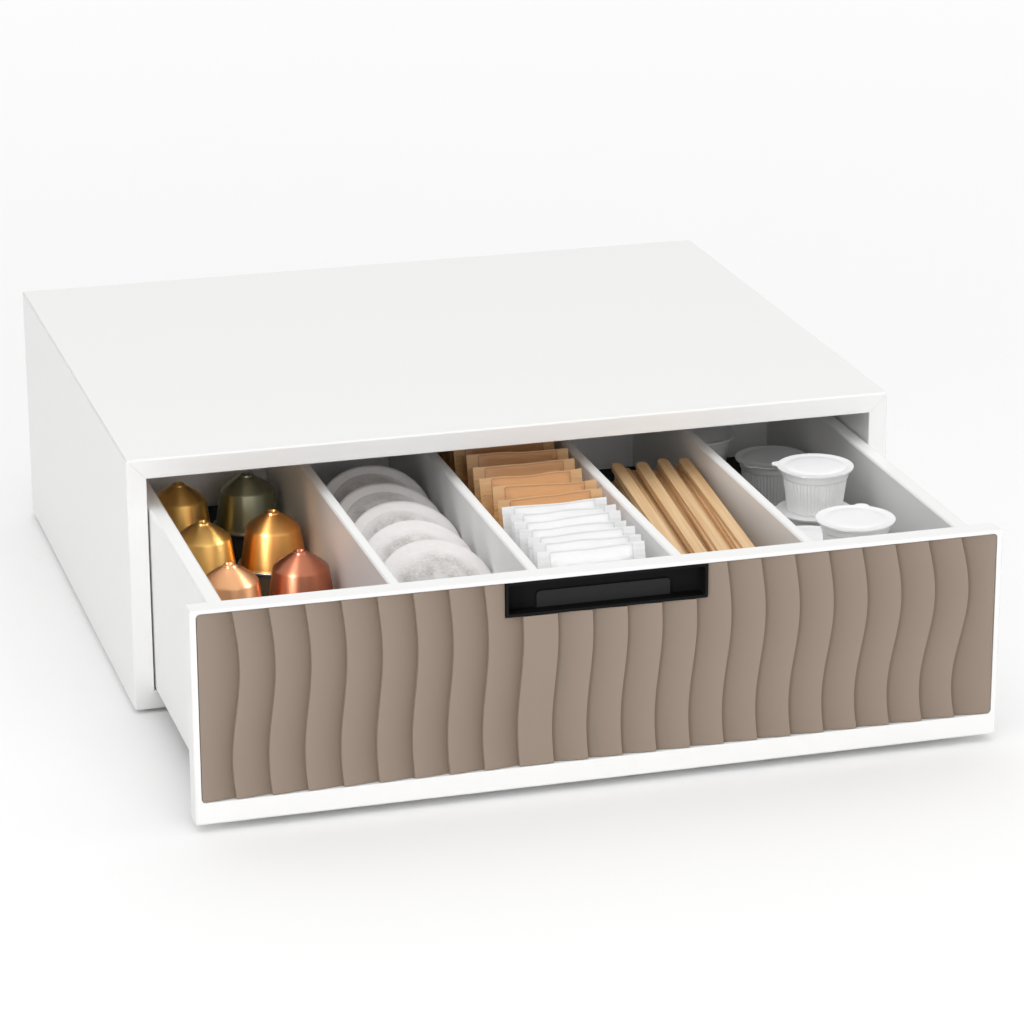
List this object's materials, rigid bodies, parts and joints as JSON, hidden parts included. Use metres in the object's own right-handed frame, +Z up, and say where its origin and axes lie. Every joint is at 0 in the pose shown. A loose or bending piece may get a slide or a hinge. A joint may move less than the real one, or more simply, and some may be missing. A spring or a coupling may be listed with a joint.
{
  "type": "coffee pod drawer",
  "caption": "White countertop drawer for coffee capsules, pads, sachets, stirrers and creamer cups, with a taupe wave-relief front and a black handle cup.",
  "frame": {"origin": "middle of the footprint with the drawer at rest, 143 mm open, on the surface the feet stand on", "axes": "+Z up, -Y the way the drawer opens, +X to the right of someone facing the drawer front"},
  "size_m": [0.4, 0.479, 0.134],
  "materials": {
    "amber_anodised": "satin amber anodised aluminium",
    "ball_steel": "polished bearing steel",
    "birch_wood": "smooth bare birch",
    "black_plastic": "satin black moulded plastic",
    "cage_steel": "pressed zinc-plated steel",
    "capsule_foil": "plain foil",
    "copper_anodised": "satin copper anodised aluminium",
    "cup_plastic": "white polystyrene",
    "dark_liner": "near-black matt liner",
    "filter_paper": "heat-sealed filter paper",
    "foot_rubber": "grey rubber pad",
    "gold_anodised": "satin gold anodised aluminium",
    "green_anodised": "satin dark green anodised aluminium",
    "kraft_paper": "unbleached kraft paper",
    "lid_film": "white sealing film",
    "plywood": "bare birch plywood",
    "rose_brown_anodised": "satin rose-brown anodised aluminium",
    "runner_steel": "bright zinc-plated cold-rolled steel",
    "screw_steel": "zinc-plated steel",
    "taupe_lacquer": "matt taupe lacquer on a carved fibreboard panel",
    "white_lacquer": "satin white lacquer on fibreboard",
    "white_paper": "white coated paper"
  },
  "bodies": {
    "cabinet": {"cabinet_top": "white_lacquer", "cabinet_bottom": "white_lacquer", "cabinet_left_side": "white_lacquer", "cabinet_right_side": "white_lacquer", "cabinet_back": "white_lacquer", "back_panel_screws": "screw_steel", "cabinet_feet": "foot_rubber", "runner_batten_left": "plywood", "runner_batten_right": "plywood", "batten_screws": "screw_steel", "runner_outer_left": "runner_steel", "runner_outer_right": "runner_steel", "outer_runner_screws": "screw_steel"},
    "drawer": {"runner_inner_left": "runner_steel", "runner_inner_right": "runner_steel", "inner_runner_screws": "screw_steel", "drawer_front": "white_lacquer", "wave_panel": "taupe_lacquer", "handle_cup": "black_plastic", "drawer_left_side": "white_lacquer", "drawer_right_side": "white_lacquer", "drawer_back": "white_lacquer", "drawer_floor": "white_lacquer", "floor_liner": "dark_liner", "divider_1": "white_lacquer", "divider_2": "white_lacquer", "divider_3": "white_lacquer", "divider_4": "white_lacquer", "capsule_back_left": "gold_anodised", "capsule_back_right": "green_anodised", "capsule_mid_left": "gold_anodised", "capsule_mid_right": "amber_anodised", "capsule_front_left": "copper_anodised", "capsule_front_right": "rose_brown_anodised", "capsule_foils": "capsule_foil", "coffee_pads": "filter_paper", "brown_sachets": "kraft_paper", "white_sachets": "white_paper", "stirrers": "birch_wood", "creamer_cups": "cup_plastic", "creamer_lids": "lid_film"},
    "cage_left": {"ball_cage_left": "cage_steel", "bearing_balls_left": "ball_steel"},
    "cage_right": {"ball_cage_right": "cage_steel", "bearing_balls_right": "ball_steel"}
  },
  "joints": [
    {"name": "drawer_slide", "type": "slide", "parent": "cabinet", "child": "drawer", "axis": [0, -1, 0], "range_m": [-0.1425, 0.037]},
    {"name": "cage_left_slide", "type": "slide", "parent": "cabinet", "child": "cage_left", "axis": [0, -1, 0], "range_m": [-0.07125, 0.0185]},
    {"name": "cage_right_slide", "type": "slide", "parent": "cabinet", "child": "cage_right", "axis": [0, -1, 0], "range_m": [-0.07125, 0.0185]}
  ],
  "couplings": [
    {"joint": "cage_left_slide", "follows": "drawer_slide", "ratio": 0.5},
    {"joint": "cage_right_slide", "follows": "drawer_slide", "ratio": 0.5}
  ]
}
